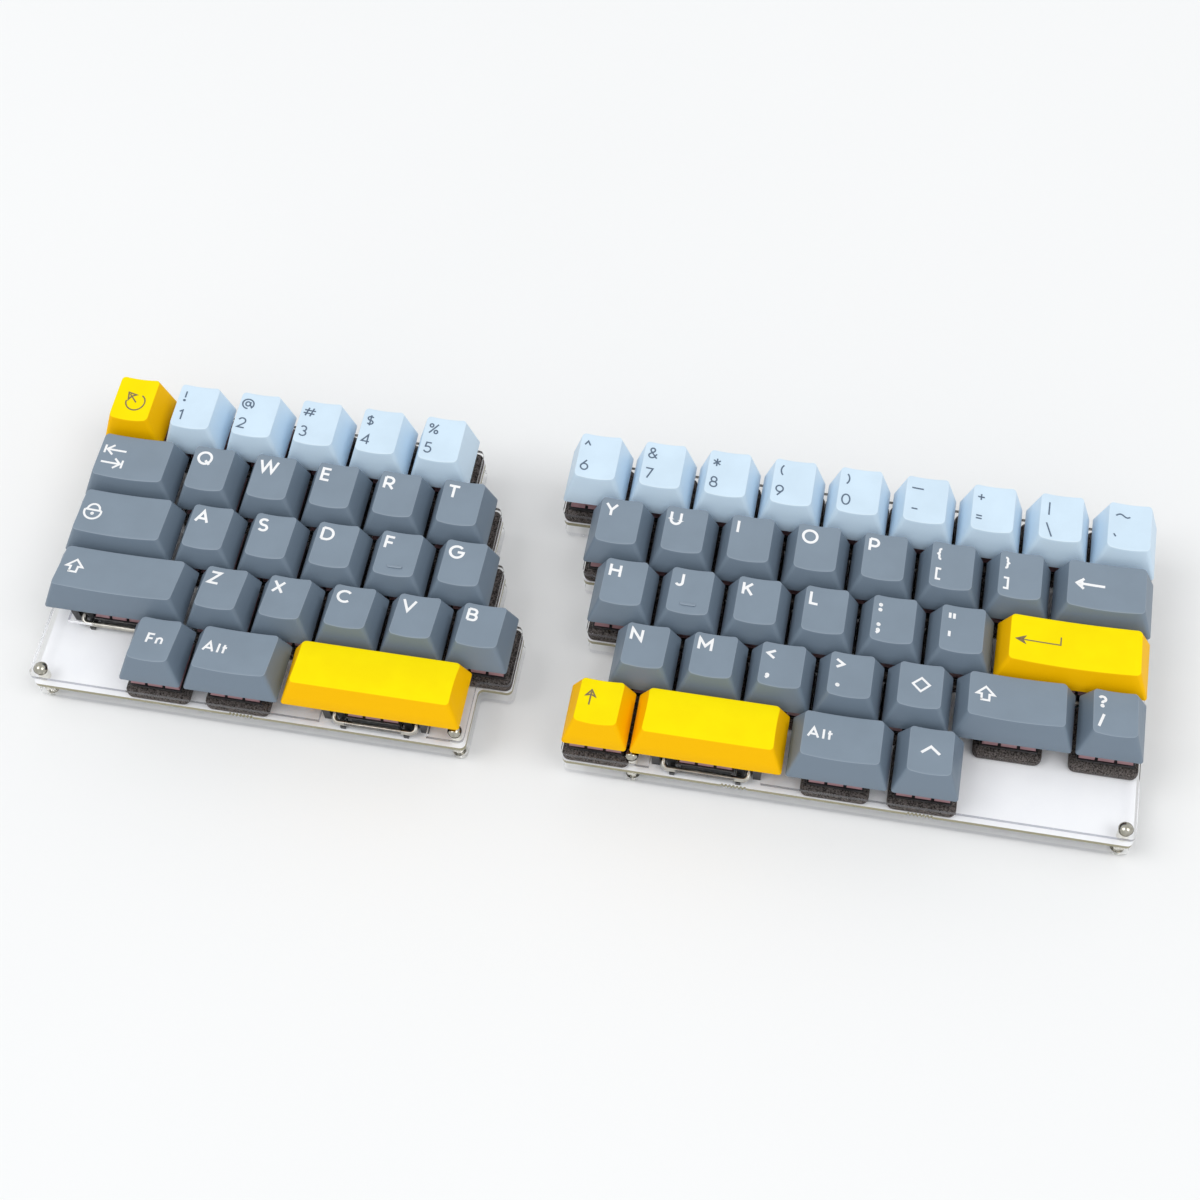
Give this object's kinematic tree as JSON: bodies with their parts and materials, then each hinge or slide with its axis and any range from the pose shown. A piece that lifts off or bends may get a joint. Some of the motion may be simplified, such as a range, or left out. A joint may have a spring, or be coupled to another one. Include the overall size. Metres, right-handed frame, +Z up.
{
  "type": "split keyboard",
  "caption": "Split staggered keyboard in two halves: sculpted keys on plunger switches, bare board, soft pads, clear plates, stabilised wide keys.",
  "frame": {"origin": "on the desk, at the middle of the pair's outline", "axes": "+X to the user's right along the rows, +Y away from the user, +Z up"},
  "size_m": [0.3134, 0.0964, 0.0302],
  "materials": {
    "clear_acrylic": "clear, polished",
    "white_board": "white solder mask",
    "black_foam": "open-cell foam",
    "black_housing": "satin moulding",
    "mauve_housing": "satin moulding",
    "plated_metal": "nickel plated",
    "wire_steel": "drawn wire",
    "socket_shell": "stamped shell",
    "rubber_foot": "matt",
    "grey_cap": "fine matt",
    "yellow_cap": "fine matt",
    "blue_cap": "fine matt"
  },
  "bodies": {
    "frame": {"left_base_plate": "clear_acrylic", "right_base_plate": "clear_acrylic", "left_circuit_board": "white_board", "right_circuit_board": "white_board", "left_switch_plate": "clear_acrylic", "right_switch_plate": "clear_acrylic", "foam_pads": "black_foam", "switch_bases": "black_housing", "switch_tops": "mauve_housing", "stabiliser_housings": "black_housing", "board_standoffs": "plated_metal", "plate_spacers": "plated_metal", "dome_screws": "plated_metal", "controller_chips": "black_housing", "cable_sockets": "socket_shell", "rubber_feet": "rubber_foot"},
    "key_q": {"key_q": "grey_cap"},
    "key_w": {"key_w": "grey_cap"},
    "key_e": {"key_e": "grey_cap"},
    "key_r": {"key_r": "grey_cap"},
    "key_t": {"key_t": "grey_cap"},
    "key_a": {"key_a": "grey_cap"},
    "key_s": {"key_s": "grey_cap"},
    "key_d": {"key_d": "grey_cap"},
    "key_f": {"key_f": "grey_cap"},
    "key_g": {"key_g": "grey_cap"},
    "key_z": {"key_z": "grey_cap"},
    "key_x": {"key_x": "grey_cap"},
    "key_c": {"key_c": "grey_cap"},
    "key_v": {"key_v": "grey_cap"},
    "key_b": {"key_b": "grey_cap"},
    "key_y": {"key_y": "grey_cap"},
    "key_u": {"key_u": "grey_cap"},
    "key_i": {"key_i": "grey_cap"},
    "key_o": {"key_o": "grey_cap"},
    "key_p": {"key_p": "grey_cap"},
    "key_h": {"key_h": "grey_cap"},
    "key_j": {"key_j": "grey_cap"},
    "key_k": {"key_k": "grey_cap"},
    "key_l": {"key_l": "grey_cap"},
    "key_n": {"key_n": "grey_cap"},
    "key_m": {"key_m": "grey_cap"},
    "key_tab": {"key_tab": "grey_cap"},
    "key_caps": {"key_caps": "grey_cap"},
    "key_left_shift": {"key_left_shift": "grey_cap"},
    "key_backspace": {"key_backspace": "grey_cap"},
    "key_right_shift": {"key_right_shift": "grey_cap"},
    "key_escape": {"key_escape": "yellow_cap"},
    "key_enter": {"key_enter": "yellow_cap"},
    "key_left_space": {"key_left_space": "yellow_cap"},
    "key_right_space": {"key_right_space": "yellow_cap"},
    "key_up": {"key_up": "yellow_cap"},
    "keys_left_numbers": {"keys_left_numbers": "blue_cap"},
    "keys_right_numbers": {"keys_right_numbers": "blue_cap"},
    "keys_symbols": {"keys_symbols": "grey_cap"},
    "keys_modifiers": {"keys_modifiers": "grey_cap"},
    "left_shift_wire": {"left_shift_wire": "wire_steel"},
    "enter_wire": {"enter_wire": "wire_steel"},
    "left_space_wire": {"left_space_wire": "wire_steel"},
    "right_space_wire": {"right_space_wire": "wire_steel"}
  },
  "joints": [
    {"name": "q_press", "type": "slide", "parent": "frame", "child": "key_q", "axis": [0, 0, -1], "range_m": [0, 0.004], "stiffness_N_per_m": 75, "springref_m": -0.004},
    {"name": "w_press", "type": "slide", "parent": "frame", "child": "key_w", "axis": [0, 0, -1], "range_m": [0, 0.004], "stiffness_N_per_m": 75, "springref_m": -0.004},
    {"name": "e_press", "type": "slide", "parent": "frame", "child": "key_e", "axis": [0, 0, -1], "range_m": [0, 0.004], "stiffness_N_per_m": 75, "springref_m": -0.004},
    {"name": "r_press", "type": "slide", "parent": "frame", "child": "key_r", "axis": [0, 0, -1], "range_m": [0, 0.004], "stiffness_N_per_m": 75, "springref_m": -0.004},
    {"name": "t_press", "type": "slide", "parent": "frame", "child": "key_t", "axis": [0, 0, -1], "range_m": [0, 0.004], "stiffness_N_per_m": 75, "springref_m": -0.004},
    {"name": "a_press", "type": "slide", "parent": "frame", "child": "key_a", "axis": [0, 0, -1], "range_m": [0, 0.004], "stiffness_N_per_m": 75, "springref_m": -0.004},
    {"name": "s_press", "type": "slide", "parent": "frame", "child": "key_s", "axis": [0, 0, -1], "range_m": [0, 0.004], "stiffness_N_per_m": 75, "springref_m": -0.004},
    {"name": "d_press", "type": "slide", "parent": "frame", "child": "key_d", "axis": [0, 0, -1], "range_m": [0, 0.004], "stiffness_N_per_m": 75, "springref_m": -0.004},
    {"name": "f_press", "type": "slide", "parent": "frame", "child": "key_f", "axis": [0, 0, -1], "range_m": [0, 0.004], "stiffness_N_per_m": 75, "springref_m": -0.004},
    {"name": "g_press", "type": "slide", "parent": "frame", "child": "key_g", "axis": [0, 0, -1], "range_m": [0, 0.004], "stiffness_N_per_m": 75, "springref_m": -0.004},
    {"name": "z_press", "type": "slide", "parent": "frame", "child": "key_z", "axis": [0, 0, -1], "range_m": [0, 0.004], "stiffness_N_per_m": 75, "springref_m": -0.004},
    {"name": "x_press", "type": "slide", "parent": "frame", "child": "key_x", "axis": [0, 0, -1], "range_m": [0, 0.004], "stiffness_N_per_m": 75, "springref_m": -0.004},
    {"name": "c_press", "type": "slide", "parent": "frame", "child": "key_c", "axis": [0, 0, -1], "range_m": [0, 0.004], "stiffness_N_per_m": 75, "springref_m": -0.004},
    {"name": "v_press", "type": "slide", "parent": "frame", "child": "key_v", "axis": [0, 0, -1], "range_m": [0, 0.004], "stiffness_N_per_m": 75, "springref_m": -0.004},
    {"name": "b_press", "type": "slide", "parent": "frame", "child": "key_b", "axis": [0, 0, -1], "range_m": [0, 0.004], "stiffness_N_per_m": 75, "springref_m": -0.004},
    {"name": "y_press", "type": "slide", "parent": "frame", "child": "key_y", "axis": [0, 0, -1], "range_m": [0, 0.004], "stiffness_N_per_m": 75, "springref_m": -0.004},
    {"name": "u_press", "type": "slide", "parent": "frame", "child": "key_u", "axis": [0, 0, -1], "range_m": [0, 0.004], "stiffness_N_per_m": 75, "springref_m": -0.004},
    {"name": "i_press", "type": "slide", "parent": "frame", "child": "key_i", "axis": [0, 0, -1], "range_m": [0, 0.004], "stiffness_N_per_m": 75, "springref_m": -0.004},
    {"name": "o_press", "type": "slide", "parent": "frame", "child": "key_o", "axis": [0, 0, -1], "range_m": [0, 0.004], "stiffness_N_per_m": 75, "springref_m": -0.004},
    {"name": "p_press", "type": "slide", "parent": "frame", "child": "key_p", "axis": [0, 0, -1], "range_m": [0, 0.004], "stiffness_N_per_m": 75, "springref_m": -0.004},
    {"name": "h_press", "type": "slide", "parent": "frame", "child": "key_h", "axis": [0, 0, -1], "range_m": [0, 0.004], "stiffness_N_per_m": 75, "springref_m": -0.004},
    {"name": "j_press", "type": "slide", "parent": "frame", "child": "key_j", "axis": [0, 0, -1], "range_m": [0, 0.004], "stiffness_N_per_m": 75, "springref_m": -0.004},
    {"name": "k_press", "type": "slide", "parent": "frame", "child": "key_k", "axis": [0, 0, -1], "range_m": [0, 0.004], "stiffness_N_per_m": 75, "springref_m": -0.004},
    {"name": "l_press", "type": "slide", "parent": "frame", "child": "key_l", "axis": [0, 0, -1], "range_m": [0, 0.004], "stiffness_N_per_m": 75, "springref_m": -0.004},
    {"name": "n_press", "type": "slide", "parent": "frame", "child": "key_n", "axis": [0, 0, -1], "range_m": [0, 0.004], "stiffness_N_per_m": 75, "springref_m": -0.004},
    {"name": "m_press", "type": "slide", "parent": "frame", "child": "key_m", "axis": [0, 0, -1], "range_m": [0, 0.004], "stiffness_N_per_m": 75, "springref_m": -0.004},
    {"name": "tab_press", "type": "slide", "parent": "frame", "child": "key_tab", "axis": [0, 0, -1], "range_m": [0, 0.004], "stiffness_N_per_m": 75, "springref_m": -0.004},
    {"name": "caps_press", "type": "slide", "parent": "frame", "child": "key_caps", "axis": [0, 0, -1], "range_m": [0, 0.004], "stiffness_N_per_m": 75, "springref_m": -0.004},
    {"name": "left_shift_press", "type": "slide", "parent": "frame", "child": "key_left_shift", "axis": [0, 0, -1], "range_m": [0, 0.004], "stiffness_N_per_m": 75, "springref_m": -0.004},
    {"name": "backspace_press", "type": "slide", "parent": "frame", "child": "key_backspace", "axis": [0, 0, -1], "range_m": [0, 0.004], "stiffness_N_per_m": 75, "springref_m": -0.004},
    {"name": "right_shift_press", "type": "slide", "parent": "frame", "child": "key_right_shift", "axis": [0, 0, -1], "range_m": [0, 0.004], "stiffness_N_per_m": 75, "springref_m": -0.004},
    {"name": "escape_press", "type": "slide", "parent": "frame", "child": "key_escape", "axis": [0, 0, -1], "range_m": [0, 0.004], "stiffness_N_per_m": 75, "springref_m": -0.004},
    {"name": "enter_press", "type": "slide", "parent": "frame", "child": "key_enter", "axis": [0, 0, -1], "range_m": [0, 0.004], "stiffness_N_per_m": 75, "springref_m": -0.004},
    {"name": "left_space_press", "type": "slide", "parent": "frame", "child": "key_left_space", "axis": [0, 0, -1], "range_m": [0, 0.004], "stiffness_N_per_m": 75, "springref_m": -0.004},
    {"name": "right_space_press", "type": "slide", "parent": "frame", "child": "key_right_space", "axis": [0, 0, -1], "range_m": [0, 0.004], "stiffness_N_per_m": 75, "springref_m": -0.004},
    {"name": "up_press", "type": "slide", "parent": "frame", "child": "key_up", "axis": [0, 0, -1], "range_m": [0, 0.004], "stiffness_N_per_m": 75, "springref_m": -0.004},
    {"name": "left_numbers_press", "type": "slide", "parent": "frame", "child": "keys_left_numbers", "axis": [0, 0, -1], "range_m": [0, 0.004], "stiffness_N_per_m": 375, "springref_m": -0.004},
    {"name": "right_numbers_press", "type": "slide", "parent": "frame", "child": "keys_right_numbers", "axis": [0, 0, -1], "range_m": [0, 0.004], "stiffness_N_per_m": 525, "springref_m": -0.004},
    {"name": "symbols_press", "type": "slide", "parent": "frame", "child": "keys_symbols", "axis": [0, 0, -1], "range_m": [0, 0.004], "stiffness_N_per_m": 525, "springref_m": -0.004},
    {"name": "modifiers_press", "type": "slide", "parent": "frame", "child": "keys_modifiers", "axis": [0, 0, -1], "range_m": [0, 0.004], "stiffness_N_per_m": 525, "springref_m": -0.004},
    {"name": "left_shift_wire_turn", "type": "hinge", "parent": "frame", "child": "left_shift_wire", "pos_m": [-0.13524, -0.02785, 0.0116], "axis": [-1, 0, 0], "range_deg": [0, 28.48]},
    {"name": "enter_wire_turn", "type": "hinge", "parent": "frame", "child": "enter_wire", "pos_m": [0.13524, -0.0076, 0.0116], "axis": [-1, 0, 0], "range_deg": [0, 28.48]},
    {"name": "left_space_wire_turn", "type": "hinge", "parent": "frame", "child": "left_space_wire", "pos_m": [-0.05428, -0.0469, 0.0116], "axis": [-1, 0, 0], "range_deg": [0, 28.48]},
    {"name": "right_space_wire_turn", "type": "hinge", "parent": "frame", "child": "right_space_wire", "pos_m": [0.03999, -0.0457, 0.0116], "axis": [-1, 0, 0], "range_deg": [0, 28.48]}
  ],
  "couplings": [
    {"joint": "left_shift_wire_turn", "follows": "left_shift_press", "rad_per_m": 123.84},
    {"joint": "enter_wire_turn", "follows": "enter_press", "rad_per_m": 123.84},
    {"joint": "left_space_wire_turn", "follows": "left_space_press", "rad_per_m": 123.84},
    {"joint": "right_space_wire_turn", "follows": "right_space_press", "rad_per_m": 123.84}
  ]
}
